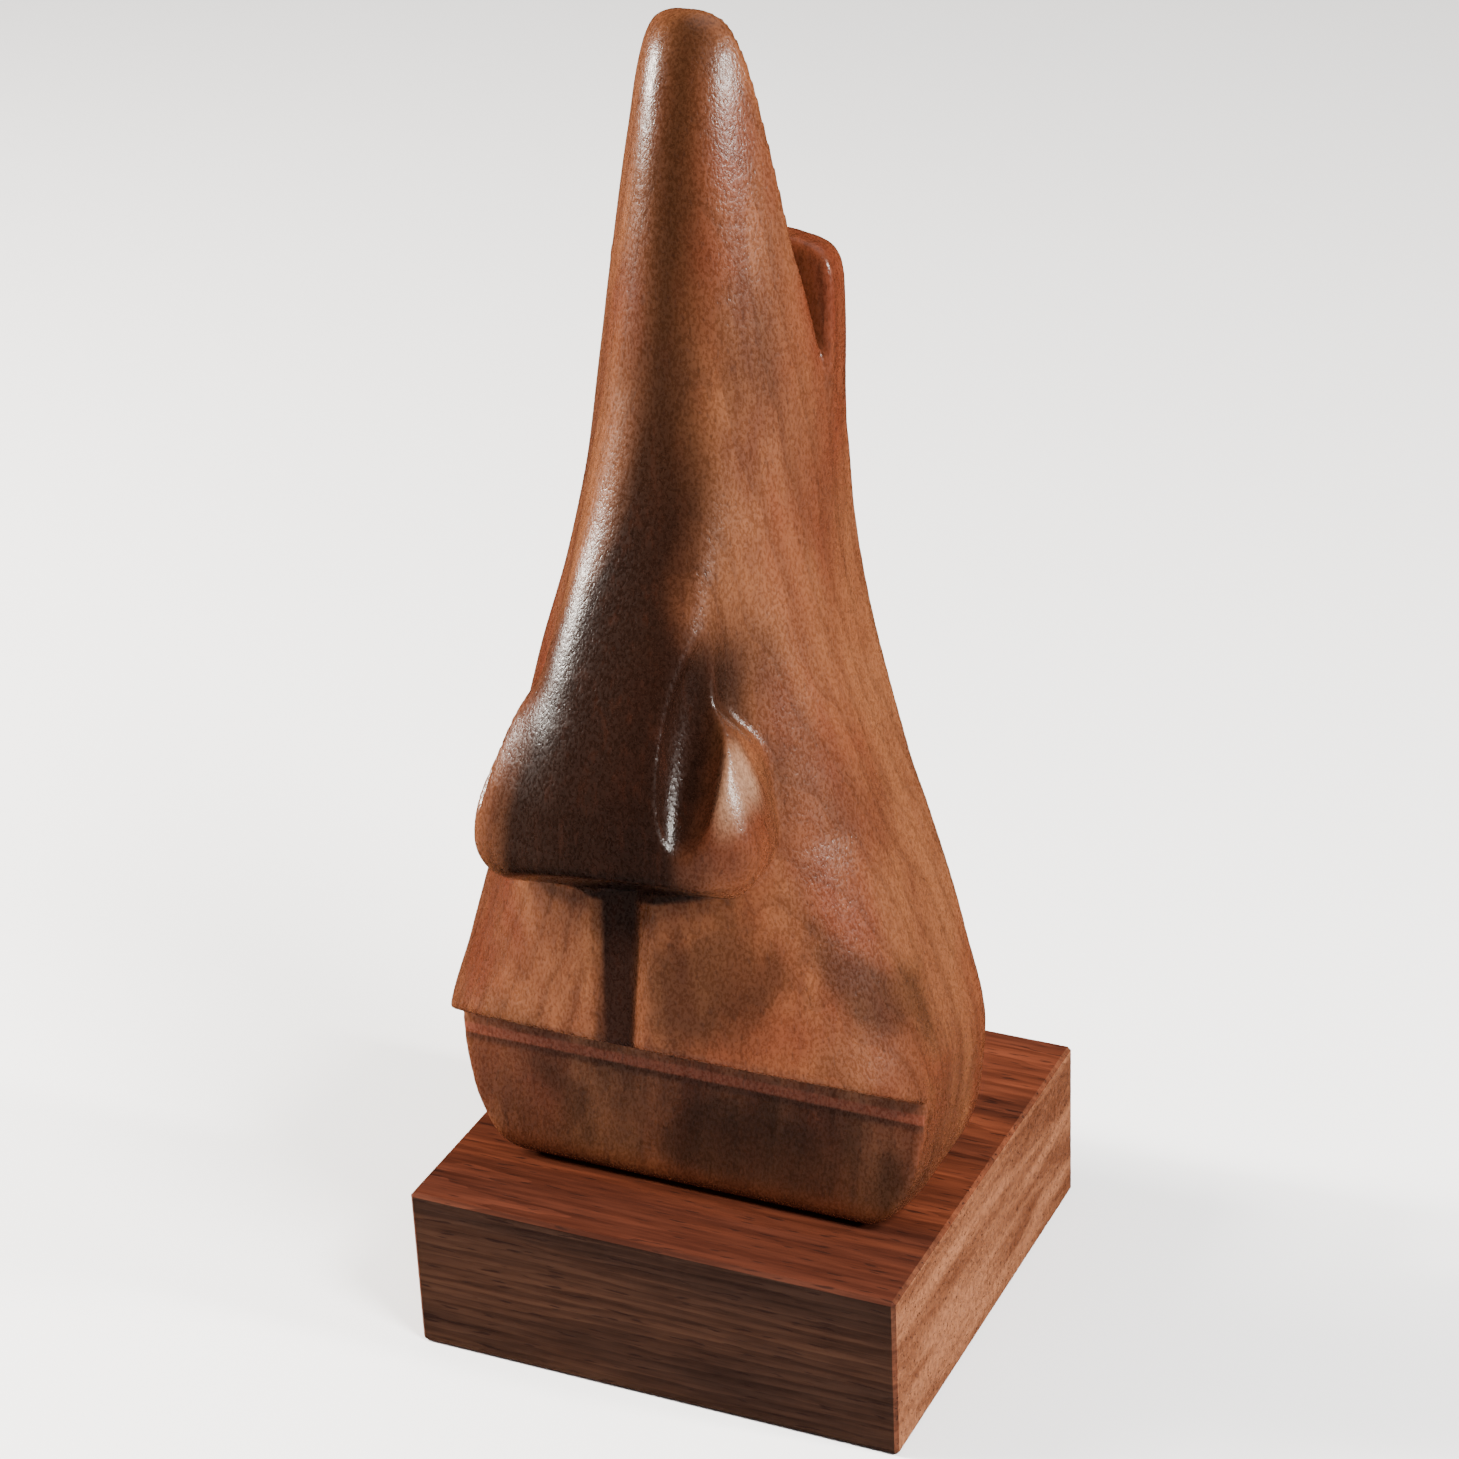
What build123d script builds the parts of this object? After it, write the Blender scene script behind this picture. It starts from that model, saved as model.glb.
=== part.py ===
"""Carved wooden nose on a block: a display stand for a pair of glasses.

Frame: millimetres, +Z up, the face looks along -Y and +X is on the right as seen from in front.
The origin is the centre of the base's underside.
"""
from build123d import *
from math import radians, tan
import os

os.makedirs("parts", exist_ok=True)

# Base block
BASE_WIDTH = 57.0
BASE_DEPTH = 54.0
BASE_HEIGHT = 19.6
EDGE_BREAK = 0.4

# Head, carved from one block whose flat back stands just behind the base's middle
BACK_Y = 3.0

# Level sections of the head: height, half width at the flat back, half width at the shoulder,
# y of the shoulder and y of the front ridge. The front is half an ellipse, shoulder to shoulder.
HEAD_SECTIONS = (
    (BASE_HEIGHT, 21.5, 21.5, -8.0, -30.0),
    (28.0, 26.0, 26.0, -12.0, -32.5),
    (37.0, 27.5, 27.5, -15.0, -32.3),
    (48.0, 25.4, 25.0, -12.0, -30.2),
    (65.0, 21.0, 20.5, -8.0, -26.9),
    (80.0, 16.8, 16.1, -5.0, -24.0),
    (94.0, 13.6, 12.7, -2.0, -21.0),
    (110.0, 12.6, 11.6, 0.0, -17.2),
    (124.0, 11.4, 10.1, 0.0, -14.2),
    (136.0, 9.4, 7.9, 0.0, -11.4),
    (143.0, 7.4, 5.8, 0.0, -8.8),
    (146.5, 5.4, 3.7, 0.0, -6.6),
    (147.7, 3.4, 1.9, 0.0, -5.2),
)

# Mouth: the lip overhangs a flat chin, and the two meet in a straight crease from side to side
CREASE_Y = -15.0
CREASE_Z = 36.5
LIP_SLOPE = 33.5
CHIN_FOOT_Y = -17.0
JAW_RIM_RADIUS = 2.0

# Groove from the nose down to the lip: height, half width and y of its floor
PHILTRUM_SECTIONS = ((72.0, 3.8, -23.8), (43.0, 2.3, -30.1))

# Notch between the forehead and the thin horn behind it
NOTCH_FOOT = (-1.9, 111.8)
FOREHEAD_BACK_Y = -3.4
HORN_FRONT_Y = -0.7
HORN_TOP_Z = 124.4
HORN_HALF_WIDTH = 11.8
HORN_CORNER_RADIUS = 5.0

# Nose: height, half width, y of the corners beside the ridge and y of the ridge
NOSE_SECTIONS = (
    (52.0, 17.4, -29.6, -38.4),
    (64.0, 16.8, -28.2, -36.2),
    (72.0, 15.4, -26.8, -35.3),
    (80.0, 13.0, -24.8, -32.7),
    (88.0, 10.4, -21.6, -28.0),
    (96.0, 8.0, -18.4, -22.6),
    (104.0, 6.0, -14.6, -18.0),
)
NOSE_CORNER_SHARE = 0.35
NOSE_RIDGE_SHARE = 0.9
NOSE_ROOT_Y = -8.0
NOSE_ROOT_SHARE = 0.75
NOSE_FOOT = (-34.6, 68.0)
NOSE_UNDER_SLOPE = 12.0

# Nostrils: an almond-shaped gouge in each flank, from its upper point to its lower one
NOSTRIL_TOP = (9.6, -25.2, 89.5)
NOSTRIL_FOOT = (11.2, -31.8, 69.5)
NOSTRIL_RADIUS = 3.4

# Countersunk wood screws, driven up through the base into the head
SCREW_SPACING = 20.0
SCREW_Y = -7.0
SCREW_LENGTH = 31.0
SCREW_RECESS = 0.8
SHANK_RADIUS = 2.1
ROOT_RADIUS = 1.5
SCREW_HEAD_RADIUS = 4.1
SCREW_HEAD_HEIGHT = 2.4
HOLE_CLEARANCE = 0.25
THREAD_PITCH = 1.4
POINT_LENGTH = 3.2
SLOT_WIDTH = 1.1
SLOT_DEPTH = 1.2

FAR = 60.0
screw_tip_z = SCREW_RECESS + SCREW_LENGTH
screw_xs = (-SCREW_SPACING / 2, SCREW_SPACING / 2)


def prow_section(height, back_y, back_half, side_half, shoulder_y, ridge_y):
    """A level section: flat back, straight sides and half an ellipse across the front."""
    with BuildSketch(Plane.XY.offset(height)) as section:
        with BuildLine():
            Line((-back_half, back_y), (-side_half, shoulder_y))
            EllipticalCenterArc(
                (0, shoulder_y), side_half, shoulder_y - ridge_y, start_angle=180, arc_size=180
            )
            Line((side_half, shoulder_y), (back_half, back_y))
            Line((back_half, back_y), (-back_half, back_y))
        make_face()
    return section.sketch


def nose_section(height, half, corner_y, ridge_y):
    """A level section of the nose: flanks that close in behind, and a rounded front."""
    root_half = NOSE_ROOT_SHARE * half
    with BuildSketch(Plane.XY.offset(height)) as section:
        with BuildLine():
            Polyline(
                (-root_half, NOSE_ROOT_Y),
                (-half, corner_y),
                (0, ridge_y),
                (half, corner_y),
                (root_half, NOSE_ROOT_Y),
                close=True,
            )
        make_face()
        fillet(section.vertices().sort_by(Axis.Y)[1:3], NOSE_CORNER_SHARE * half)
        fillet(section.vertices().sort_by(Axis.Y)[0], NOSE_RIDGE_SHARE * half)
    return section.sketch


def nostril_cutter(side):
    """An almond of revolution about the line from the nostril's upper point to its lower one."""
    top = Vector(side * NOSTRIL_TOP[0], NOSTRIL_TOP[1], NOSTRIL_TOP[2])
    foot = Vector(side * NOSTRIL_FOOT[0], NOSTRIL_FOOT[1], NOSTRIL_FOOT[2])
    half_length = (foot - top).length / 2
    spine = foot - top
    with BuildPart() as cutter:
        with BuildSketch(Plane((top + foot) / 2, x_dir=spine, z_dir=spine.cross(Vector(1, 0, 0)))):
            with BuildLine():
                Line((-half_length, 0), (half_length, 0))
                ThreePointArc((half_length, 0), (0, NOSTRIL_RADIUS), (-half_length, 0))
            make_face()
        revolve(axis=Axis(top, spine))
    return cutter.part


def wood_screw(x):
    """A slotted countersunk screw standing point up: head, plain shank, ringed thread and point."""
    head_z = SCREW_RECESS + SCREW_HEAD_HEIGHT
    thread_top = screw_tip_z - POINT_LENGTH
    thread_count = round((thread_top - BASE_HEIGHT) / THREAD_PITCH)
    outline = [(x, SCREW_RECESS), (x + SCREW_HEAD_RADIUS, SCREW_RECESS), (x + SHANK_RADIUS, head_z)]
    for turn in range(thread_count):
        ring_z = thread_top - (thread_count - turn) * THREAD_PITCH
        outline += [(x + SHANK_RADIUS, ring_z), (x + ROOT_RADIUS, ring_z + THREAD_PITCH / 2)]
    outline += [(x + SHANK_RADIUS, thread_top), (x, screw_tip_z)]
    with BuildPart() as screw:
        with BuildSketch(Plane.XZ.offset(-SCREW_Y)):
            with BuildLine():
                Polyline(*outline, close=True)
            make_face()
        revolve(axis=Axis((x, SCREW_Y, 0), (0, 0, 1)))
        with BuildSketch(Plane.XY.offset(SCREW_RECESS)):
            with Locations((x, SCREW_Y)):
                Rectangle(SLOT_WIDTH, 2 * SCREW_HEAD_RADIUS)
        extrude(amount=SLOT_DEPTH, mode=Mode.SUBTRACT)
    return screw.part


# --- screws ---------------------------------------------------------------------------------
for x, name in zip(screw_xs, ("left_screw", "right_screw")):
    screw = wood_screw(x)
    screw.label = name
    export_step(screw, f"parts/{name}.step")

# --- base block -----------------------------------------------------------------------------
with BuildPart() as base_block:
    Box(BASE_WIDTH, BASE_DEPTH, BASE_HEIGHT, align=(Align.CENTER, Align.CENTER, Align.MIN))
    chamfer(base_block.edges(), EDGE_BREAK)
    # Each screw has a countersunk clearance hole, a little deeper than its head.
    for x in screw_xs:
        with BuildSketch(Plane.XZ.offset(-SCREW_Y)):
            with BuildLine():
                Polyline(
                    (x, 0),
                    (x + SCREW_HEAD_RADIUS + HOLE_CLEARANCE, 0),
                    (x + SCREW_HEAD_RADIUS + HOLE_CLEARANCE, SCREW_RECESS),
                    (x + SHANK_RADIUS + HOLE_CLEARANCE, SCREW_RECESS + SCREW_HEAD_HEIGHT),
                    (x + SHANK_RADIUS + HOLE_CLEARANCE, BASE_HEIGHT),
                    (x, BASE_HEIGHT),
                    close=True,
                )
            make_face()
        revolve(axis=Axis((x, SCREW_Y, 0), (0, 0, 1)), mode=Mode.SUBTRACT)

base_block.part.label = "base_block"
export_step(base_block.part, "parts/base_block.step")

# --- carved head ----------------------------------------------------------------------------
# The nose, widening downwards, is cut off below by a face that slopes down towards the lip.
under_drop = (NOSE_ROOT_Y - NOSE_FOOT[0]) * tan(radians(NOSE_UNDER_SLOPE))
with BuildPart() as nose:
    for height, half, corner_y, ridge_y in NOSE_SECTIONS:
        add(nose_section(height, half, corner_y, ridge_y))
    loft()
    with BuildSketch(Plane.YZ):
        with BuildLine():
            Polyline(
                (-FAR, NOSE_FOOT[1]),
                NOSE_FOOT,
                (NOSE_ROOT_Y, NOSE_FOOT[1] - under_drop),
                (NOSE_ROOT_Y, 0),
                (-FAR, 0),
                close=True,
            )
        make_face()
    extrude(amount=FAR, both=True, mode=Mode.SUBTRACT)

lip_rise = (CREASE_Y + FAR) * tan(radians(LIP_SLOPE))
with BuildPart() as carved_head:
    # The block of face and forehead is flat behind and rounded like a prow in front.
    for height, back_half, side_half, shoulder_y, ridge_y in HEAD_SECTIONS:
        add(prow_section(height, BACK_Y, back_half, side_half, shoulder_y, ridge_y))
    loft()
    # Mouth and chin: everything under the lip and in front of the chin is cut away.
    with BuildSketch(Plane.YZ):
        with BuildLine():
            Polyline(
                (CREASE_Y, CREASE_Z),
                (-FAR, CREASE_Z + lip_rise),
                (-FAR, 0),
                (CHIN_FOOT_Y, 0),
                (CHIN_FOOT_Y, BASE_HEIGHT),
                close=True,
            )
        make_face()
    extrude(amount=FAR, both=True, mode=Mode.SUBTRACT)
    fillet(carved_head.faces().sort_by(Axis.Z)[0].edges(), JAW_RIM_RADIUS)
    # Groove above the lip
    for height, half, floor_y in PHILTRUM_SECTIONS:
        with BuildSketch(Plane.XY.offset(height)):
            with Locations((0, floor_y)):
                Rectangle(2 * half, FAR, align=(Align.CENTER, Align.MAX))
    loft(mode=Mode.SUBTRACT)
    # Notch behind the forehead, open above the horn
    with BuildSketch(Plane.YZ):
        with BuildLine():
            Polyline(
                NOTCH_FOOT,
                (FOREHEAD_BACK_Y, HORN_TOP_Z),
                (FOREHEAD_BACK_Y, HORN_TOP_Z + FAR),
                (BACK_Y + FAR, HORN_TOP_Z + FAR),
                (BACK_Y + FAR, HORN_TOP_Z),
                (HORN_FRONT_Y, HORN_TOP_Z),
                close=True,
            )
        make_face()
    extrude(amount=FAR, both=True, mode=Mode.SUBTRACT)
    # The horn's two upper corners are rounded off.
    corner_x = HORN_HALF_WIDTH - HORN_CORNER_RADIUS
    corner_z = HORN_TOP_Z - HORN_CORNER_RADIUS
    with BuildSketch(Plane.XZ.offset(-BACK_Y)) as horn_corners:
        with BuildLine():
            CenterArc((corner_x, corner_z), HORN_CORNER_RADIUS, 0, 90)
            Polyline(
                (corner_x, HORN_TOP_Z),
                (corner_x, HORN_TOP_Z + HORN_CORNER_RADIUS),
                (2 * HORN_HALF_WIDTH, HORN_TOP_Z + HORN_CORNER_RADIUS),
                (2 * HORN_HALF_WIDTH, corner_z),
                (HORN_HALF_WIDTH, corner_z),
            )
        make_face()
        mirror(about=Plane.YZ)
    extrude(amount=BACK_Y - NOTCH_FOOT[0], mode=Mode.SUBTRACT)
    add(nose.part)
    # A nostril in each flank
    for side in (-1, 1):
        add(nostril_cutter(side), mode=Mode.SUBTRACT)
    # The screws bite into the underside.
    with BuildSketch(Plane.XY.offset(BASE_HEIGHT)):
        with Locations(*[(x, SCREW_Y) for x in screw_xs]):
            Circle(SHANK_RADIUS)
    extrude(amount=screw_tip_z - BASE_HEIGHT, mode=Mode.SUBTRACT)

carved_head.part.label = "carved_head"
export_step(carved_head.part, "parts/carved_head.step")
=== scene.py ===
"""Looks of the wooden eyeglasses stand: a carved head on a polished block, screwed on from below.

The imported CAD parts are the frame. The base block and the two screws keep their CAD shape and get a finish.
The carved head is made again as one smooth mesh, because a hand-carved face has no sharp CAD edges.
The shape of the head and the marks on it are given in millimetres, and the studio in metres.
Sideways is x, with the right as seen from in front of the nose, and forward is -y.
"""

import bpy
import numpy as np
from mathutils import Matrix, Vector


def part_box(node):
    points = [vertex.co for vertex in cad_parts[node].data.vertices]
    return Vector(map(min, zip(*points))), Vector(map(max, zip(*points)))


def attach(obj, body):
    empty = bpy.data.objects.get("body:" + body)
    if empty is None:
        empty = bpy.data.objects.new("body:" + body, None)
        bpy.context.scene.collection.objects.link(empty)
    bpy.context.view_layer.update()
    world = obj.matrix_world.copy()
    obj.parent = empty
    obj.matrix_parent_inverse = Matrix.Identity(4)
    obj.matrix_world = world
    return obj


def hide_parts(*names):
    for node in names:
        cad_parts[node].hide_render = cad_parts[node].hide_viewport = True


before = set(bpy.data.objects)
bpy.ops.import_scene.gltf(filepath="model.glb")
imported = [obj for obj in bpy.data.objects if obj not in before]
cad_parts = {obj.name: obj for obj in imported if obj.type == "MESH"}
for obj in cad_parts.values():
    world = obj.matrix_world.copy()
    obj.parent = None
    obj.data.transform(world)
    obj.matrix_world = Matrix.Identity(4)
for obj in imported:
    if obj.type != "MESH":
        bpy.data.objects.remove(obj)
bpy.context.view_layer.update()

MM = 0.001
BASE_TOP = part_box("base_block")[1].z / MM
HEAD_LOW, HEAD_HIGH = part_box("carved_head")
HEAD_TOP = HEAD_HIGH.z / MM
HEAD_BACK = HEAD_HIGH.y / MM


# ---------- the carved head: how it is shaped, in millimetres above the underside of the stand ----------

# grid step and margin of the field that the head is cut from
NET_STEP = 0.5
NET_MARGIN = 2.0

# how far the finished points are moved onto the surface: rounds, feeler length, least slope, longest move
SETTLE_ROUNDS = 3
SETTLE_FEELER = 0.02
SETTLE_SLOPE = 0.2
SETTLE_MOVE = 0.15

# height, half width, how far forward the sides are widest, how far forward the middle comes
FACE_SECTIONS = (
    (BASE_TOP, 23.2, -8.0, -30.0),
    (23.0, 25.0, -9.5, -31.3),
    (28.0, 26.5, -12.0, -32.6),
    (37.0, 27.3, -15.0, -32.4),
    (48.0, 25.1, -12.0, -30.3),
    (65.0, 20.6, -8.0, -26.9),
    (80.0, 16.8, -5.0, -24.0),
    (94.0, 13.7, -2.0, -21.0),
    (104.0, 12.5, 0.0, -18.5),
    (112.0, 11.7, 0.5, -17.0),
    (118.0, 10.9, 1.0, -16.1),
    (124.0, 9.9, 1.0, -14.9),
    (136.0, 7.6, 0.5, -11.9),
    (143.0, 5.9, -0.8, -9.1),
    (146.3, 4.2, -2.0, -6.8),
    (147.4, 2.4, -3.0, -5.2),
    (HEAD_TOP + 0.2, 0.8, -3.4, -4.2),
)

# height, sideways lean of the carving
LEAN = (
    (30.0, 0.3), (50.0, 0.3), (62.0, 0.0), (68.0, -0.4), (80.0, -0.4),
    (92.0, 0.2), (104.0, 0.9), (118.0, 1.3), (136.0, 1.1), (148.0, 0.6),
)

# height, forward reach of the nose ridge
NOSE_RIDGE = (
    (58.0, -36.6), (66.0, -34.8), (70.0, -33.9), (74.0, -33.1), (78.0, -31.8), (84.0, -29.0), (94.0, -23.5),
    (98.0, -21.0), (104.0, -17.6), (110.0, -14.4), (116.0, -10.5),
)
# height, forward place where the nose is widest
NOSE_WIDEST = (
    (58.0, -26.0), (70.0, -26.0), (78.0, -24.0), (86.0, -21.5), (90.0, -20.0), (94.0, -18.5), (99.0, -16.0),
    (104.0, -14.0), (114.0, -9.0),
)
# height, half width of the middle of the nose
NOSE_BODY = (
    (58.0, 10.6), (72.0, 10.6), (80.0, 9.8), (84.0, 9.1), (88.0, 8.6), (92.0, 8.0), (96.0, 7.3), (100.0, 6.4),
    (104.0, 5.5), (108.0, 4.6), (114.0, 3.0),
)
# height, half width of the nose across both wings
NOSE_WINGS = (
    (58.0, 16.0), (66.0, 15.9), (70.0, 15.6), (74.0, 14.6), (78.0, 13.0), (81.0, 11.4), (83.5, 9.5),
    (86.0, 7.8), (92.0, 6.0),
)
NOSE_DEPTH = 10.5
NOSE_TOP = 118.0
NOSE_FULLNESS = 2.5
WING_FULLNESS = 2.8
WING_SET_BACK = 1.8
WING_LEAST_REACH = 0.5
# forward place, height and slope of the line that ends the wings above
WING_TOP = (-20.6, 80.6, 1.2)
# forward place, height and slope of the underside of the nose, and its sideways tilt
UNDER_NOSE = (-27.0, 63.0, 0.70)
UNDER_TILT = 0.10
# the edge of the underside, and how much softer it gets between two distances from the middle, right and left
UNDER_EDGE = 1.0
UNDER_SOFT_FROM = 7.0
UNDER_SOFT_TO = 14.0
UNDER_SOFT_RIGHT = 5.0
UNDER_SOFT_LEFT = 3.0
# height, how softly the nose runs out into the face
NOSE_BLEND = ((62.0, 0.8), (80.0, 1.0), (86.0, 2.0), (92.0, 3.2), (100.0, 4.0), (110.0, 4.5))

# upper end, lower end and radius of each nostril gouge; the left one sits further round the side
NOSTRILS = (
    ((9.4, -22.0, 92.0), (9.6, -33.2, 70.4), 3.3),
    ((-10.4, -19.6, 91.0), (-15.8, -29.6, 69.0), 2.2),
)

# forward place and height of the corner behind the lip
LIP_BACK = (-15.0, 36.5)
LIP_SLOPE = np.tan(np.radians(33.5))
CHIN_LEAN = 2.0 / 17.0

# half width of the philtrum at one height and its growth with height, then depth and slope of each wall
PHILTRUM_TOP = 72.0
PHILTRUM_HALF = 2.3
PHILTRUM_HEIGHT = 46.7
PHILTRUM_GROWTH = 0.07
PHILTRUM_LEFT = (0.7, 0.35)
PHILTRUM_RIGHT = (0.3, 0.65)

# forward place and height of the foot of the notch between forehead and horn
NOTCH_FOOT = (-1.9, 111.8)
NOTCH_RISE = 12.6
NOTCH_FRONT_LEAN = 1.5
NOTCH_BACK_LEAN = 1.2
HORN_TOP = 124.9
HORN_DOME = 0.012
HORN_ROOT = 105.0
# half width and radius of the horn's two upper corners
HORN_CORNER = (12.3, 5.0)
# height, half width of the horn behind the notch
HORN_WIDTH = ((95.0, 13.2), (104.0, 13.2), (112.0, 13.3), (118.0, 12.8), (126.0, 12.1))

# how softly each cut and each join is rounded
WING_TOP_EDGE = 2.0
WING_JOIN = 1.5
NOSE_TOP_EDGE = 1.0
MOUTH_EDGE = 0.6
PHILTRUM_EDGE = 0.35
NOSTRIL_EDGE = 0.5
NOTCH_EDGE = 0.5
HORN_JOIN = 0.4
HORN_EDGE = 0.8
HORN_TOP_EDGE = 1.2
BACK_EDGE = 1.2
TIP_EDGE = 1.0
FOOT_EDGE = 4.0


def curve(at, points):
    """A smooth line through (x, y) points that never overshoots them, read at the places given."""
    x, y = np.array(points, float).T
    width = np.diff(x)
    rise = np.diff(y) / width
    slope = np.zeros(len(x))
    slope[0] = rise[0]
    slope[-1] = rise[-1]
    for i in range(1, len(x) - 1):
        if rise[i - 1] * rise[i] > 0:
            before = 2 * width[i] + width[i - 1]
            after = width[i] + 2 * width[i - 1]
            slope[i] = (before + after) / (before / rise[i - 1] + after / rise[i])
    at = np.clip(at, x[0], x[-1])
    k = np.clip(np.searchsorted(x, at, side="right") - 1, 0, len(x) - 2)
    s = (at - x[k]) / width[k]
    start = y[k] * (1 + 2 * s) * (1 - s) ** 2 + width[k] * slope[k] * s * (1 - s) ** 2
    end = y[k + 1] * s * s * (3 - 2 * s) + width[k] * slope[k + 1] * s * s * (s - 1)
    return start + end


def column(sections, index):
    """One measure of a section table, with its heights."""
    return [(row[0], row[index]) for row in sections]


def union(a, b, soft):
    """Two shapes joined, with a soft fillet along the seam."""
    near = np.maximum(soft - np.abs(a - b), 0) / soft
    return np.minimum(a, b) - near * near * soft / 4


def common(a, b, soft):
    """What two shapes share, with a softly rounded edge."""
    return -union(-a, -b, soft)


def ramp(value, low, high):
    """Rises smoothly from 0 at low to 1 at high."""
    t = np.clip((value - low) / (high - low), 0, 1)
    return t * t * (3 - 2 * t)


# the least reach and the least slope of an oval, so that its middle can be worked out too
OVAL_LEAST_REACH = 1e-12
OVAL_LEAST_SLOPE = 1e-3


def oval(x, y, half_x, half_y, fullness):
    """Distance to an oval; a fullness above 2 makes it squarer."""
    across = np.abs(x) / half_x
    along = np.abs(y) / half_y
    reach = (across ** fullness + along ** fullness + OVAL_LEAST_REACH) ** (1 / fullness)
    steep_x = reach ** (1 - fullness) * across ** (fullness - 1) / half_x
    steep_y = reach ** (1 - fullness) * along ** (fullness - 1) / half_y
    return (reach - 1) / np.maximum(np.hypot(steep_x, steep_y), OVAL_LEAST_SLOPE)


def face_shape(x, y, z):
    """The prow of the face: broad at the jaw, narrowing to the rounded tip."""
    half = curve(z, column(FACE_SECTIONS, 1))
    side = curve(z, column(FACE_SECTIONS, 2))
    front = curve(z, column(FACE_SECTIONS, 3))
    return oval(x, np.minimum(y - side, 0), half, side - front, 2.0)


def nose_shape(x, y, z):
    """A long nose with two wings and a flat underside that slopes back to the lip."""
    ridge = curve(z, NOSE_RIDGE)
    widest = curve(z, NOSE_WIDEST)
    in_front = y < widest
    body_reach = np.where(in_front, widest - ridge, NOSE_DEPTH)
    body = oval(x, y - widest, curve(z, NOSE_BODY), body_reach, NOSE_FULLNESS)
    wing_reach = np.where(in_front, np.maximum(widest - ridge - WING_SET_BACK, WING_LEAST_REACH), NOSE_DEPTH)
    wings = oval(x, y - widest, curve(z, NOSE_WINGS), wing_reach, WING_FULLNESS)
    top_y, top_z, top_slope = WING_TOP
    above = (z - top_z - top_slope * (top_y - y)) / np.hypot(1, top_slope)
    shape = union(body, common(wings, above, WING_TOP_EDGE), WING_JOIN)
    shape = common(shape, z - NOSE_TOP, NOSE_TOP_EDGE)
    under_y, under_z, under_slope = UNDER_NOSE
    ahead = under_y - y
    steep = np.hypot(1, np.where(ahead > 0, under_slope, 0))
    below = (under_z + under_slope * np.maximum(ahead, 0) + UNDER_TILT * x - z) / steep
    soft = np.where(x > 0, UNDER_SOFT_RIGHT, UNDER_SOFT_LEFT)
    return common(shape, below, UNDER_EDGE + soft * ramp(np.abs(x), UNDER_SOFT_FROM, UNDER_SOFT_TO))


def nostril_shape(x, y, z, top, foot, girth):
    """A long boat-shaped gouge between the nose and one wing."""
    top = np.array(top)
    foot = np.array(foot)
    middle = (top + foot) / 2
    half = np.linalg.norm(foot - top) / 2
    axis = (foot - top) / (2 * half)
    dx = x - middle[0]
    dy = y - middle[1]
    dz = z - middle[2]
    along = dx * axis[0] + dy * axis[1] + dz * axis[2]
    away = np.sqrt(np.maximum(dx * dx + dy * dy + dz * dz - along * along, 0))
    radius = girth * np.sqrt(np.maximum(1 - (along / half) ** 2, 0))
    return np.where(np.abs(along) < half, away - radius, np.hypot(away, np.abs(along) - half))


def mouth_cut(y, z):
    """The space under the upper lip and in front of the chin."""
    back_y, back_z = LIP_BACK
    under_lip = (back_z + (back_y - y) * LIP_SLOPE - z) / np.hypot(1, LIP_SLOPE)
    before_chin = back_y - (back_z - z) * CHIN_LEAN - y
    return np.minimum(under_lip, before_chin)


def philtrum_cut(x, y, z):
    """The groove from the nose to the lip: it widens upwards and is deepest just right of its middle."""
    half = PHILTRUM_HALF + (z - PHILTRUM_HEIGHT) * PHILTRUM_GROWTH
    front = curve(z, column(FACE_SECTIONS, 3))
    left_depth, left_slope = PHILTRUM_LEFT
    right_depth, right_slope = PHILTRUM_RIGHT
    floor = front + np.minimum(left_depth + left_slope * (x + half), right_slope * (half - x) + right_depth)
    return np.maximum(np.maximum(np.abs(x) - half, y - floor), z - PHILTRUM_TOP)


def horn_shape(x, y, z, rise):
    """The thin upright wall left standing behind the notch."""
    half = curve(z, HORN_WIDTH)
    front = NOTCH_FOOT[0] + NOTCH_BACK_LEAN * rise
    shape = common(np.abs(x) - half, front - y, HORN_EDGE)
    shape = common(shape, z - (HORN_TOP - HORN_DOME * x * x), HORN_TOP_EDGE)
    corner_x, corner_radius = HORN_CORNER
    beyond_x = np.maximum(np.abs(x) - (corner_x - corner_radius), 0)
    beyond_z = np.maximum(z - (HORN_TOP - corner_radius), 0)
    shape = common(shape, np.hypot(beyond_x, beyond_z) - corner_radius, HORN_EDGE)
    return np.maximum(shape, HORN_ROOT - z)


def head_shape(x, y, z):
    """The whole carved head as one field: below zero inside the wood, above zero outside."""
    x = x - curve(z, LEAN)
    shape = face_shape(x, y, z)
    shape = common(shape, mouth_cut(y, z), MOUTH_EDGE)
    shape = common(shape, -philtrum_cut(x, y, z), PHILTRUM_EDGE)
    shape = union(shape, nose_shape(x, y, z), curve(z, NOSE_BLEND))
    for top, foot, girth in NOSTRILS:
        shape = common(shape, -nostril_shape(x, y, z, top, foot, girth), NOSTRIL_EDGE)
    notch_y, notch_z = NOTCH_FOOT
    rise = np.clip((z - notch_z) / NOTCH_RISE, 0, 1)
    behind = np.minimum(z - notch_z, y - notch_y + NOTCH_FRONT_LEAN * rise)
    shape = common(shape, behind, NOTCH_EDGE)
    shape = union(shape, horn_shape(x, y, z, rise), HORN_JOIN)
    shape = common(shape, y - HEAD_BACK, BACK_EDGE)
    shape = common(shape, z - HEAD_TOP, TIP_EDGE)
    return common(shape, BASE_TOP - z, FOOT_EDGE)


# ---------- turning a field into a mesh ----------

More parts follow.
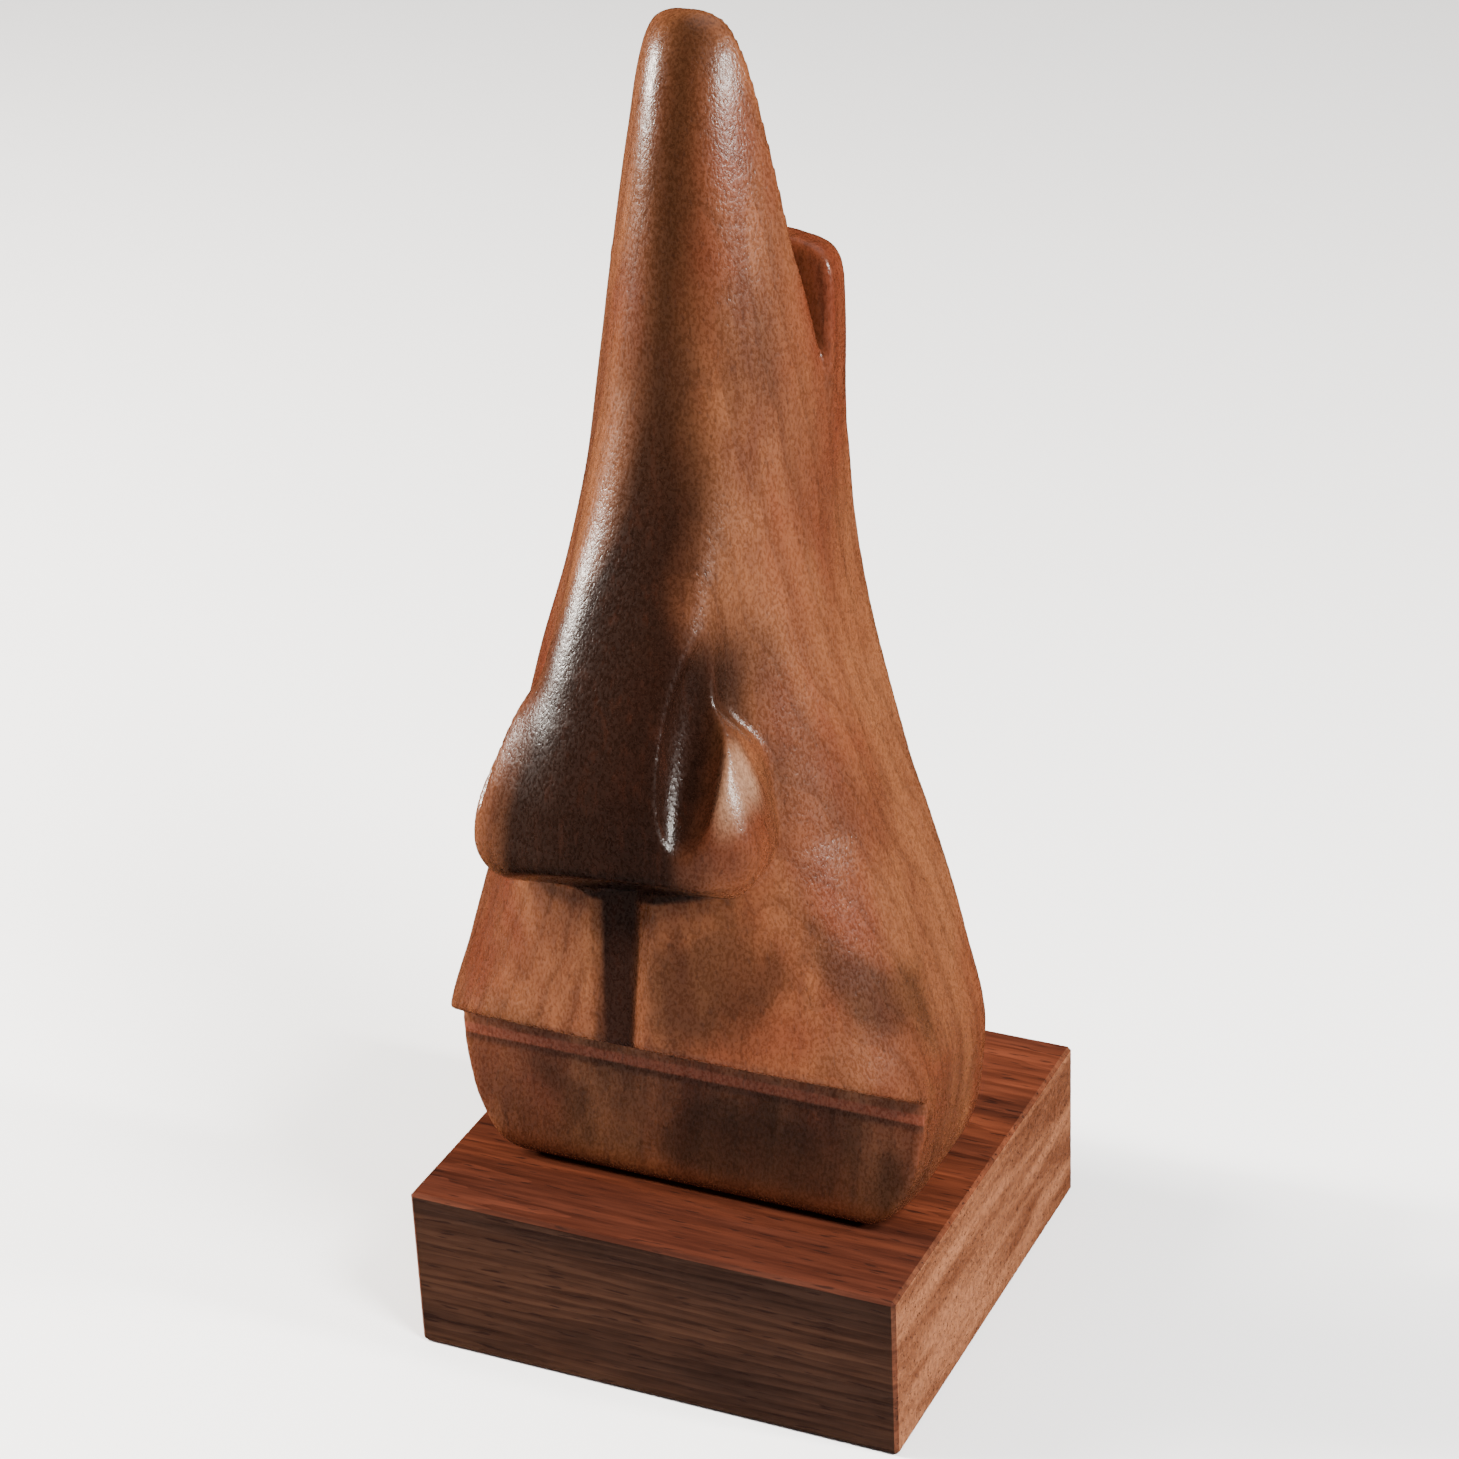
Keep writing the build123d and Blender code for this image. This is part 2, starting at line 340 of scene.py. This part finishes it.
def cell_points(low, step, values):
    """For every grid cell the surface crosses: its number, and the mean of its edge crossings."""
    cells = tuple(n - 1 for n in values.shape)
    total = np.zeros(cells + (3,), np.float32)
    count = np.zeros(cells, np.int8)
    for axis in range(3):
        others = [a for a in range(3) if a != axis]
        start = [slice(None)] * 3
        end = [slice(None)] * 3
        start[axis] = slice(0, -1)
        end[axis] = slice(1, None)
        first = values[tuple(start)]
        second = values[tuple(end)]
        where = np.argwhere((first < 0) != (second < 0))
        a = first[tuple(where.T)]
        b = second[tuple(where.T)]
        crossing = where.astype(np.float32)
        crossing[:, axis] += a / (a - b)
        for shift_0 in (0, 1):
            for shift_1 in (0, 1):
                cell = where.copy()
                cell[:, others[0]] -= shift_0
                cell[:, others[1]] -= shift_1
                np.add.at(total, tuple(cell.T), crossing)
                np.add.at(count, tuple(cell.T), 1)
    used = count > 0
    number = np.full(cells, -1, np.int64)
    number[used] = np.arange(used.sum())
    points = low + step * total[used] / count[used][:, None]
    return number, points


def cell_quads(number, values):
    """One quad for every grid edge that the surface crosses, facing outwards."""
    quads = []
    for axis in range(3):
        first_axis, second_axis = (axis + 1) % 3, (axis + 2) % 3
        start = [slice(None)] * 3
        end = [slice(None)] * 3
        start[axis] = slice(0, -1)
        end[axis] = slice(1, None)
        inside = values[tuple(start)] < 0
        where = np.argwhere(inside != (values[tuple(end)] < 0))
        leaving = inside[tuple(where.T)]
        corners = []
        for back_first, back_second in ((1, 1), (0, 1), (0, 0), (1, 0)):
            cell = where.copy()
            cell[:, first_axis] -= back_first
            cell[:, second_axis] -= back_second
            corners.append(number[tuple(cell.T)])
        quad = np.stack(corners, 1)
        quad[~leaving] = quad[~leaving][:, ::-1]
        quads.append(quad)
    return np.concatenate(quads)


def settle(field, points):
    """Moves each point onto the surface along the field's slope."""
    reach = SETTLE_FEELER
    for _ in range(SETTLE_ROUNDS):
        x, y, z = points.T
        value = field(x, y, z)
        slope = np.stack((
            field(x + reach, y, z) - field(x - reach, y, z),
            field(x, y + reach, z) - field(x, y - reach, z),
            field(x, y, z + reach) - field(x, y, z - reach),
        ), 1) / (2 * reach)
        steep = np.maximum((slope ** 2).sum(1), SETTLE_SLOPE)
        move = value[:, None] * slope / steep[:, None]
        points = points - np.clip(move, -SETTLE_MOVE, SETTLE_MOVE)
    return points


def mesh_of_field(name, field, low, high, step):
    """A closed mesh object, in metres, of a field given in millimetres."""
    counts = [int(np.ceil((high[i] - low[i]) / step)) + 1 for i in range(3)]
    x, y, z = [low[i] + step * np.arange(counts[i]) for i in range(3)]
    values = field(x[:, None, None], y[None, :, None], z[None, None, :])
    number, points = cell_points(np.array(low), step, values)
    quads = cell_quads(number, values)
    points = settle(field, points)
    mesh = bpy.data.meshes.new(name)
    mesh.from_pydata((points * MM).tolist(), [], quads.tolist())
    mesh.polygons.foreach_set("use_smooth", np.ones(len(mesh.polygons), bool))
    mesh.update()
    piece = bpy.data.objects.new(name, mesh)
    bpy.context.scene.collection.objects.link(piece)
    return piece


def make_head():
    """The carved head, standing in for its CAD part."""
    low = [v / MM - NET_MARGIN for v in HEAD_LOW]
    high = [v / MM + NET_MARGIN for v in HEAD_HIGH]
    piece = mesh_of_field("head_carving", head_shape, low, high, NET_STEP)
    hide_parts("carved_head")
    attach(piece, "root")
    return piece


# ---------- materials ----------

# numbers of the colour sockets on a Mix node
MIX_AMOUNT = 0
MIX_FIRST = 6
MIX_SECOND = 7
MIX_RESULT = 2


class Shading:
    """A node material, with short names for the nodes that the finishes here share."""

    def __init__(self, name):
        self.material = bpy.data.materials.new(name)
        self.material.use_nodes = True
        self.tree = self.material.node_tree
        self.tree.nodes.clear()
        self.shader = self.node("ShaderNodeBsdfPrincipled")
        output = self.node("ShaderNodeOutputMaterial")
        self.link(self.shader.outputs["BSDF"], output.inputs["Surface"])
        coordinates = self.node("ShaderNodeTexCoord")
        self.place = coordinates.outputs["Object"]
        self.facing = coordinates.outputs["Normal"]

    def node(self, kind, **settings):
        made = self.tree.nodes.new(kind)
        for key, value in settings.items():
            setattr(made, key, value)
        return made

    def link(self, source, target):
        self.tree.links.new(source, target)

    def feed(self, target, value):
        """Connects a node's output, or sets a constant."""
        if isinstance(value, bpy.types.NodeSocket):
            self.link(value, target)
        else:
            target.default_value = value

    def math(self, operation, *values):
        made = self.node("ShaderNodeMath", operation=operation)
        for socket, value in zip(made.inputs, values):
            self.feed(socket, value)
        return made.outputs[0]

    def total(self, first, *others):
        for other in others:
            first = self.math("ADD", first, other)
        return first

    def product(self, first, *others):
        for other in others:
            first = self.math("MULTIPLY", first, other)
        return first

    def span(self, value, low, high, start=0.0, end=1.0):
        """Maps low..high onto start..end, smoothly, and holds outside it."""
        made = self.node("ShaderNodeMapRange", interpolation_type="SMOOTHSTEP")
        self.feed(made.inputs["Value"], value)
        made.inputs["From Min"].default_value = low
        made.inputs["From Max"].default_value = high
        made.inputs["To Min"].default_value = start
        made.inputs["To Max"].default_value = end
        return made.outputs["Result"]

    def band(self, value, rise_from, rise_to, fall_from, fall_to):
        """1 between two soft ends, and 0 outside them."""
        rise = self.span(value, rise_from, rise_to)
        fall = self.span(value, fall_from, fall_to, 1.0, 0.0)
        return self.product(rise, fall)

    def edge(self, height, moves):
        """A line that moves sideways as the height grows; each move is two heights and two places in mm."""
        return self.total(*(self.span(height, *(length * MM for length in move)) for move in moves))

    def spot(self, across, along, middle, half, tilt=0.0):
        """How far out of an oval a point lies: 0 in its middle, 1 at its rim. Sizes are in mm."""
        turn = np.radians(tilt)
        from_x = self.math("SUBTRACT", across, middle[0] * MM)
        from_z = self.math("SUBTRACT", along, middle[1] * MM)
        right = self.total(self.product(from_x, np.cos(turn)), self.product(from_z, np.sin(turn)))
        up = self.math("SUBTRACT", self.product(from_z, np.cos(turn)), self.product(from_x, np.sin(turn)))
        right = self.math("DIVIDE", right, half[0] * MM)
        up = self.math("DIVIDE", up, half[1] * MM)
        return self.math("SQRT", self.total(self.product(right, right), self.product(up, up)))

    def stretched(self, scale, turn=(0.0, 0.0, 0.0), shift=(0.0, 0.0, 0.0)):
        """The piece's own coordinates, stretched along the grain."""
        made = self.node("ShaderNodeMapping")
        self.link(self.place, made.inputs["Vector"])
        made.inputs["Location"].default_value = shift
        made.inputs["Rotation"].default_value = turn
        made.inputs["Scale"].default_value = scale
        return made.outputs["Vector"]

    def noise(self, place, scale, detail=2.0, rough=0.5, warp=0.0):
        made = self.node("ShaderNodeTexNoise")
        self.link(place, made.inputs["Vector"])
        made.inputs["Scale"].default_value = scale
        made.inputs["Detail"].default_value = detail
        made.inputs["Roughness"].default_value = rough
        made.inputs["Distortion"].default_value = warp
        return made.outputs["Fac"]

    def rings(self, place, scale, axis, warp, detail):
        """Growth rings round one axis."""
        made = self.node("ShaderNodeTexWave", wave_type="RINGS", rings_direction=axis, wave_profile="SAW")
        self.link(place, made.inputs["Vector"])
        made.inputs["Scale"].default_value = scale
        made.inputs["Distortion"].default_value = warp
        made.inputs["Detail"].default_value = detail
        made.inputs["Detail Scale"].default_value = 1.0
        return made.outputs["Fac"]

    def mix(self, amount, first, second, blend="MIX"):
        made = self.node("ShaderNodeMix", data_type="RGBA", blend_type=blend)
        self.feed(made.inputs[MIX_AMOUNT], amount)
        self.feed(made.inputs[MIX_FIRST], first)
        self.feed(made.inputs[MIX_SECOND], second)
        return made.outputs[MIX_RESULT]

    def tint(self, amount, colour, darkest, lightest):
        """Multiplies a colour by something between two tones."""
        return self.mix(1.0, colour, self.mix(amount, darkest, lightest), "MULTIPLY")

    def bump(self, height, strength, distance, under=None):
        made = self.node("ShaderNodeBump")
        self.link(height, made.inputs["Height"])
        made.inputs["Strength"].default_value = strength
        made.inputs["Distance"].default_value = distance
        if under is not None:
            self.link(under, made.inputs["Normal"])
        return made.outputs["Normal"]

    def axes(self, vector):
        """The x, y and z of a vector."""
        made = self.node("ShaderNodeSeparateXYZ")
        self.link(vector, made.inputs["Vector"])
        return made.outputs["X"], made.outputs["Y"], made.outputs["Z"]


def tone(red, green, blue):
    return (red, green, blue, 1.0)


# colours in the head
PALE_WOOD = tone(0.098, 0.0345, 0.0140)
BROWN_WOOD = tone(0.054, 0.0165, 0.0075)
RED_WOOD = tone(0.062, 0.0100, 0.0040)
RING_WOOD = tone(0.022, 0.007, 0.003)
CLOUD_WOOD = tone(0.014, 0.006, 0.003)
STREAK_ON_FOREHEAD = tone(0.0200, 0.0072, 0.0030)
STREAK_ON_NOSE = tone(0.0062, 0.0026, 0.0017)
STREAK_ON_LIP = tone(0.0120, 0.0046, 0.0030)
# painted bounce light under the lip edge, with painted shadow below it
UNDER_LIP_BOUNCE_LIGHT = tone(0.105, 0.0260, 0.0130)
LIP_SHADE = tone(0.014, 0.0050, 0.0030)
# colour of the painted highlight on the right wing of the nose
WING_HIGHLIGHT_WOOD = tone(0.200, 0.118, 0.074)
FOOT_WOOD = tone(0.080, 0.0190, 0.0070)
FIBRE_WOOD = tone(0.028, 0.008, 0.004)
PORE = tone(0.014, 0.005, 0.003)
SAND_DARK = tone(0.76, 0.74, 0.72)
SAND_LIGHT = tone(1.20, 1.20, 1.17)

# dark clouds in the head, the second one painted shade over the chin under the lip: middle and half size,
# sideways and up, then tilt in degrees and strength
HEAD_CLOUDS_AND_CHIN_SHADE = (
    ((8.0, 55.0), (8.0, 7.0), 20.0, 0.60),
    # painted shade: this cloud darkens the whole chin under the lip
    ((7.0, 27.0), (24.0, 9.0), -4.0, 0.72),
    ((22.5, 51.0), (2.0, 12.0), 32.0, 0.65),
    ((11.0, 117.0), (4.5, 11.0), 14.0, 0.35),
    ((-13.0, 44.0), (5.0, 4.0), -30.0, 0.35),
    ((13.0, 72.0), (3.0, 5.0), 0.0, 0.30),
)
# edges of the dark streak down the front: two heights, and the move of the edge from one place to another
STREAK_RIGHT = ((84.0, 95.0, 10.8, 7.2), (61.0, 64.0, -10.3, 0.0), (100.0, 116.0, 0.0, -2.6))
STREAK_LEFT = ((68.0, 112.0, -12.5, -0.8), (61.0, 64.0, 9.2, 0.0), (46.0, 60.5, 1.0, 0.0))
# how softly the streak ends sideways, by height
STREAK_BLUR = ((61.0, 64.0, 0.6, 2.8),)
# how far back the front of the head reaches, by height
FRONT_LIMIT = ((100.0, 142.0, -9.5, -4.0),)
# the painted highlight on the right wing of the nose: a paler patch where light glances off it
WING_HIGHLIGHT_MIDDLE = (13.0, 78.0)
WING_HIGHLIGHT_HALF = (2.1, 6.0)


def head_figure(s, patches):
    """The plain wood of the head, before the dark heartwood."""
    clouds_place = s.stretched((1.0, 1.0, 0.6), shift=(0.3, 0.1, 0.2))
    clouds = s.noise(clouds_place, scale=60, detail=4, warp=0.4)
    rings_place = s.stretched((1.0, 1.0, 0.25), turn=(0.1, 0.25, 0.0), shift=(0.018, -0.03, 0.0))
    rings = s.rings(rings_place, scale=160, axis="Z", warp=5.0, detail=3.0)
    colour = s.mix(s.span(patches, 0.35, 0.68), PALE_WOOD, BROWN_WOOD)
    colour = s.mix(s.span(clouds, 0.42, 0.70, 0.0, 0.6), colour, RED_WOOD)
    return s.mix(s.span(rings, 0.55, 1.0, 0.0, 0.28), colour, RING_WOOD)


def heartwood(s, colour, grain, patches):
    """Dark clouds on the face, one of them painted shade over the chin under the lip, and a dark streak from
    the forehead to the lip, on the front only.
    """
    x, y, z = s.axes(s.place)
    behind = s.math("SUBTRACT", y, s.edge(z, FRONT_LIMIT))
    at_front = s.span(behind, -2.5 * MM, 1.5 * MM, 1.0, 0.0)

    spread = s.noise(s.stretched((1.0, 1.0, 0.7), shift=(0.1, 0.4, 0.0)), scale=120, detail=4)
    ragged = s.math("MULTIPLY_ADD", spread, 2.6, -1.3)
    for middle, half, tilt, strength in HEAD_CLOUDS_AND_CHIN_SHADE:
        reach = s.total(s.spot(x, z, middle, half, tilt), ragged)
        cloud = s.product(at_front, s.span(reach, 0.35, 1.25, strength, 0.0))
        colour = s.mix(cloud, colour, CLOUD_WOOD)

    wander = s.math("MULTIPLY_ADD", s.noise(grain, scale=70, detail=4), 8.0 * MM, -4.0 * MM)
    sideways = s.total(x, wander)
    blur = s.edge(z, STREAK_BLUR)
    past_left = s.math("DIVIDE", s.math("SUBTRACT", sideways, s.edge(z, STREAK_LEFT)), blur)
    past_right = s.math("DIVIDE", s.math("SUBTRACT", s.edge(z, STREAK_RIGHT), sideways), blur)
    streak = s.product(
        s.span(past_left, -1.0, 1.0),
        s.span(past_right, -1.0, 1.0),
        s.span(z, 35.5 * MM, 36.5 * MM),
        at_front,
        s.span(patches, 0.35, 0.80, 0.98, 0.92),
    )
    above_lip = s.span(z, 61.0 * MM, 64.0 * MM)
    heart = s.mix(s.span(z, 96.0 * MM, 120.0 * MM), STREAK_ON_NOSE, STREAK_ON_FOREHEAD)
    heart = s.mix(above_lip, STREAK_ON_LIP, heart)
    return s.mix(streak, colour, heart)


def under_lip(s, colour):
    """A reddish strip of painted bounce light under the edge of the lip, standing in for the lit underside of
    the lip, and a thin painted shadow below it, on the front of the chin.
    """
    height = s.axes(s.place)[2]
    forward = s.axes(s.facing)[1]
    chin_front = s.span(forward, -0.75, -0.60, 1.0, 0.0)
    strip = s.band(height, 33.8 * MM, 34.1 * MM, 35.0 * MM, 35.3 * MM)
    shade = s.band(height, 32.8 * MM, 33.6 * MM, 33.8 * MM, 34.1 * MM)
    colour = s.mix(s.product(chin_front, strip, 0.80), colour, UNDER_LIP_BOUNCE_LIGHT)
    return s.mix(s.product(chin_front, shade, 0.55), colour, LIP_SHADE)


def painted_wing_highlight(s, colour):
    """A paler patch on the right wing of the nose: a painted highlight where light glances off it."""
    x, y, z = s.axes(s.place)
    on_wing = s.span(y, -24.2 * MM, -22.2 * MM, 1.0, 0.0)
    reach = s.spot(x, z, WING_HIGHLIGHT_MIDDLE, WING_HIGHLIGHT_HALF)
    return s.mix(s.product(on_wing, s.span(reach, 0.2, 1.2, 0.50, 0.0)), colour, WING_HIGHLIGHT_WOOD)


def head_wood():
    """Oiled rosewood: orange brown, with a dark heartwood streak down the front and fine upright pores."""
    s = Shading("head_wood")
    height = s.axes(s.place)[2]
    grain = s.stretched((1.0, 1.0, 0.22))
    patches = s.noise(grain, scale=95, detail=5, rough=0.62, warp=0.7)
    fibre = s.noise(s.stretched((1.0, 1.0, 0.05)), scale=900, detail=2, rough=0.7)
    sand = s.noise(s.stretched((1.0, 1.0, 0.6)), scale=3400, detail=2, rough=0.6)
    sanded = s.span(sand, 0.3, 0.7)
    pores = s.noise(s.stretched((1.0, 1.0, 0.25), shift=(0.7, 0.2, 0.5)), scale=3000, detail=1, rough=0.4)
    pits = s.span(pores, 0.64, 0.74)
    tool_marks = s.noise(s.stretched((0.5, 0.5, 1.0)), scale=260, detail=1)

    colour = head_figure(s, patches)
    # heartwood figure, with painted shade over the chin
    colour = heartwood(s, colour, grain, patches)
    # painted bounce light and painted shadow under the lip
    colour = under_lip(s, colour)
    # painted highlight on the right wing of the nose
    colour = painted_wing_highlight(s, colour)
    colour = s.mix(s.span(height, 20.5 * MM, 24.5 * MM, 0.55, 0.0), colour, FOOT_WOOD)
    colour = s.tint(sanded, colour, SAND_DARK, SAND_LIGHT)
    colour = s.mix(s.span(fibre, 0.52, 0.75, 0.0, 0.25), colour, FIBRE_WOOD)
    colour = s.mix(s.product(pits, 0.36), colour, PORE)

    s.feed(s.shader.inputs["Base Color"], colour)
    s.feed(s.shader.inputs["Roughness"], s.span(sand, 0.3, 0.7, 0.22, 0.35))
    s.shader.inputs["Specular IOR Level"].default_value = 0.22
    normal = s.bump(s.math("SUBTRACT", 1.0, pits), strength=0.15, distance=0.1 * MM)
    normal = s.bump(sand, strength=0.35, distance=0.15 * MM, under=normal)
    normal = s.bump(tool_marks, strength=0.25, distance=0.4 * MM, under=normal)
    s.link(normal, s.shader.inputs["Normal"])
    return s.material


# the two tones of each cut of the wood that the block shows; the front and back tones are partly the wood's
# cut, partly painted shade
BASE_TOP_TONES = (tone(0.078, 0.0205, 0.0095), tone(0.031, 0.0092, 0.0056))
# front and back: darker cut of the wood, darkened further as painted shade
BASE_SIDE_TONES_WITH_SHADE = (tone(0.029, 0.0122, 0.0068), tone(0.0155, 0.0072, 0.0047))
BASE_END_TONES = (tone(0.128, 0.0530, 0.0270), tone(0.056, 0.0195, 0.0095))
BASE_RING_LIGHT = tone(1.15, 1.12, 1.10)
BASE_RING_DARK = tone(0.76, 0.74, 0.74)
BASE_FIBRE_DARK = tone(0.72, 0.70, 0.70)
BASE_FIBRE_LIGHT = tone(1.30, 1.28, 1.2)
BASE_PORE = tone(0.010, 0.004, 0.003)


def base_wood():
    """The same wood, its grain along the block: dark sides, partly painted shade, a redder top, pale ends
    with slanted grain.
    """
    s = Shading("base_wood")
    patches = s.noise(s.stretched((0.14, 1.0, 1.0)), scale=75, detail=5, rough=0.6, warp=0.6)
    slanted_place = s.stretched((1.0, 0.16, 1.0), turn=(-0.62, 0.0, 0.0))
    slanted = s.noise(slanted_place, scale=210, detail=4, rough=0.6, warp=0.3)
    rings_place = s.stretched((0.15, 1.0, 1.0), turn=(0.0, 0.05, 0.06), shift=(0.0, 0.02, 0.05))
    rings = s.rings(rings_place, scale=260, axis="X", warp=7.0, detail=3.0)
    fibre = s.noise(s.stretched((0.05, 1.0, 1.0)), scale=1400, detail=3, rough=0.7)
    pores = s.noise(s.stretched((0.12, 1.0, 1.0), shift=(0.4, 0.6, 0.1)), scale=2600, detail=1, rough=0.4)
    pits = s.span(pores, 0.62, 0.72)

    sideways, forward, _ = s.axes(s.facing)
    on_end = s.span(s.math("ABSOLUTE", sideways), 0.6, 0.9)
    on_side = s.span(s.math("ABSOLUTE", forward), 0.6, 0.9)
    patchy = s.span(patches, 0.34, 0.66)
    top = s.mix(patchy, *BASE_TOP_TONES)
    side = s.mix(patchy, *BASE_SIDE_TONES_WITH_SHADE)
    end = s.mix(s.span(slanted, 0.36, 0.66), *BASE_END_TONES)
    # the darker front and back faces carry painted shade
    colour = s.mix(on_side, s.mix(on_end, top, end), side)
    ringed = s.product(rings, s.math("SUBTRACT", 1.0, on_end))
    colour = s.tint(ringed, colour, BASE_RING_LIGHT, BASE_RING_DARK)
    colour = s.tint(s.span(fibre, 0.3, 0.7), colour, BASE_FIBRE_DARK, BASE_FIBRE_LIGHT)
    colour = s.mix(s.product(pits, 0.75), colour, BASE_PORE)

    s.feed(s.shader.inputs["Base Color"], colour)
    s.feed(s.shader.inputs["Roughness"], s.span(fibre, 0.3, 0.8, 0.36, 0.50))
    s.shader.inputs["Specular IOR Level"].default_value = 0.05
    normal = s.bump(s.math("SUBTRACT", 1.0, pits), strength=0.2, distance=0.1 * MM)
    s.link(normal, s.shader.inputs["Normal"])
    return s.material


def screw_steel():
    """Bright steel, brushed round by the thread rolling."""
    s = Shading("screw_steel")
    brushed = s.noise(s.stretched((1.0, 1.0, 6.0)), scale=400, detail=2)
    s.feed(s.shader.inputs["Base Color"], s.mix(brushed, tone(0.46, 0.45, 0.43), tone(0.60, 0.59, 0.57)))
    s.shader.inputs["Metallic"].default_value = 1.0
    s.feed(s.shader.inputs["Roughness"], s.span(brushed, 0.3, 0.7, 0.25, 0.42))
    return s.material


def studio_white():
    """The pale floor."""
    s = Shading("studio_white")
    faint = s.noise(s.place, scale=12)
    s.feed(s.shader.inputs["Base Color"], s.mix(faint, tone(0.76, 0.76, 0.77), tone(0.79, 0.79, 0.80)))
    s.shader.inputs["Roughness"].default_value = 0.6
    return s.material


def finish_piece(piece, material):
    """Gives a piece one material."""
    piece.data.materials.clear()
    piece.data.materials.append(material)


# ---------- the studio ----------

FLOOR_HALF = 3.0
SKY_STRENGTH = 0.45
# name, place, width and height, watts, colour, and whether it shows in the gloss of the wood
LAMPS = (
    ("lamp_right", (0.37, -0.20, 0.49), (0.15, 0.15), 9.5, (1.0, 0.98, 0.95), False),
    ("lamp_left", (-0.60, -0.13, 0.28), (0.028, 0.13), 14.0, (1.0, 0.95, 0.87), True),
    ("lamp_left_high", (-0.45, -0.12, 0.45), (0.20, 0.20), 10.0, (1.0, 0.94, 0.86), False),
    ("lamp_far_right", (0.56, 0.02, 0.30), (0.05, 0.09), 7.5, (1.0, 0.97, 0.92), True),
)
OVERHEAD_STRENGTH = 0.9
# breadth and turns of the overhead light, in degrees
OVERHEAD_BREADTH = 50.0
OVERHEAD_TURNS = (-20.0, 14.0, 0.0)

# turn round the stand, height above level and tilt of the picture, in degrees
CAMERA_TURN = 25.535
CAMERA_RISE = 26.936
CAMERA_TILT = -2.578
CAMERA_REACH = 0.4025
CAMERA_AIM = (-0.00025, 0.0, 0.0682)
CAMERA_SENSOR = 36.0
CAMERA_LENS = 93.76


def make_floor():
    """A plain floor that stays out of the wood's gloss."""
    corners = [(x * FLOOR_HALF, y * FLOOR_HALF, 0) for x, y in ((-1, -1), (1, -1), (1, 1), (-1, 1))]
    mesh = bpy.data.meshes.new("studio_floor")
    mesh.from_pydata(corners, [], [(0, 1, 2, 3)])
    floor = bpy.data.objects.new("studio_floor", mesh)
    bpy.context.scene.collection.objects.link(floor)
    finish_piece(floor, studio_white())
    floor.visible_glossy = False


def make_sky():
    """An even white sky that stays out of the wood's gloss."""
    world = bpy.data.worlds.new("studio_sky")
    world.use_nodes = True
    background = world.node_tree.nodes["Background"]
    background.inputs["Color"].default_value = tone(1.0, 1.0, 1.0)
    background.inputs["Strength"].default_value = SKY_STRENGTH
    world.cycles_visibility.glossy = False
    bpy.context.scene.world = world


def make_lamp(name, place, size, watts, colour, in_gloss):
    """A soft light that points at the middle of the stand."""
    aim = Vector((0.0, 0.0, HEAD_TOP * MM / 2))
    data = bpy.data.lights.new(name, "AREA")
    data.shape = "RECTANGLE"
    data.size, data.size_y = size
    data.energy = watts
    data.color = colour
    lamp = bpy.data.objects.new(name, data)
    lamp.location = place
    lamp.rotation_euler = (aim - Vector(place)).to_track_quat("-Z", "Y").to_euler()
    lamp.visible_glossy = in_gloss
    bpy.context.scene.collection.objects.link(lamp)


def make_overhead():
    """A broad soft light from above."""
    data = bpy.data.lights.new("overhead", "SUN")
    data.energy = OVERHEAD_STRENGTH
    data.angle = np.radians(OVERHEAD_BREADTH)
    sun = bpy.data.objects.new("overhead", data)
    sun.rotation_euler = np.radians(OVERHEAD_TURNS)
    bpy.context.scene.collection.objects.link(sun)


def make_camera():
    """The camera, turned round the stand and tilted a little."""
    turn, rise, tilt = np.radians((CAMERA_TURN, CAMERA_RISE, CAMERA_TILT))
    back = Vector((np.sin(turn) * np.cos(rise), -np.cos(turn) * np.cos(rise), np.sin(rise)))
    right = Vector((np.cos(turn), np.sin(turn), 0))
    up = back.cross(right)
    side = right * np.cos(tilt) + up * np.sin(tilt)
    top = up * np.cos(tilt) - right * np.sin(tilt)
    data = bpy.data.cameras.new("photo_camera")
    data.sensor_width = CAMERA_SENSOR
    data.lens = CAMERA_LENS
    camera = bpy.data.objects.new("photo_camera", data)
    place = Vector(CAMERA_AIM) + back * CAMERA_REACH
    camera.matrix_world = Matrix.Translation(place) @ Matrix((side, top, back)).transposed().to_4x4()
    bpy.context.scene.collection.objects.link(camera)
    bpy.context.scene.camera = camera


head = make_head()
finish_piece(head, head_wood())
finish_piece(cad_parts["base_block"], base_wood())
steel = screw_steel()
for screw in ("left_screw", "right_screw"):
    finish_piece(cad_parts[screw], steel)
make_floor()
make_sky()
for lamp in LAMPS:
    make_lamp(*lamp)
make_overhead()
make_camera()
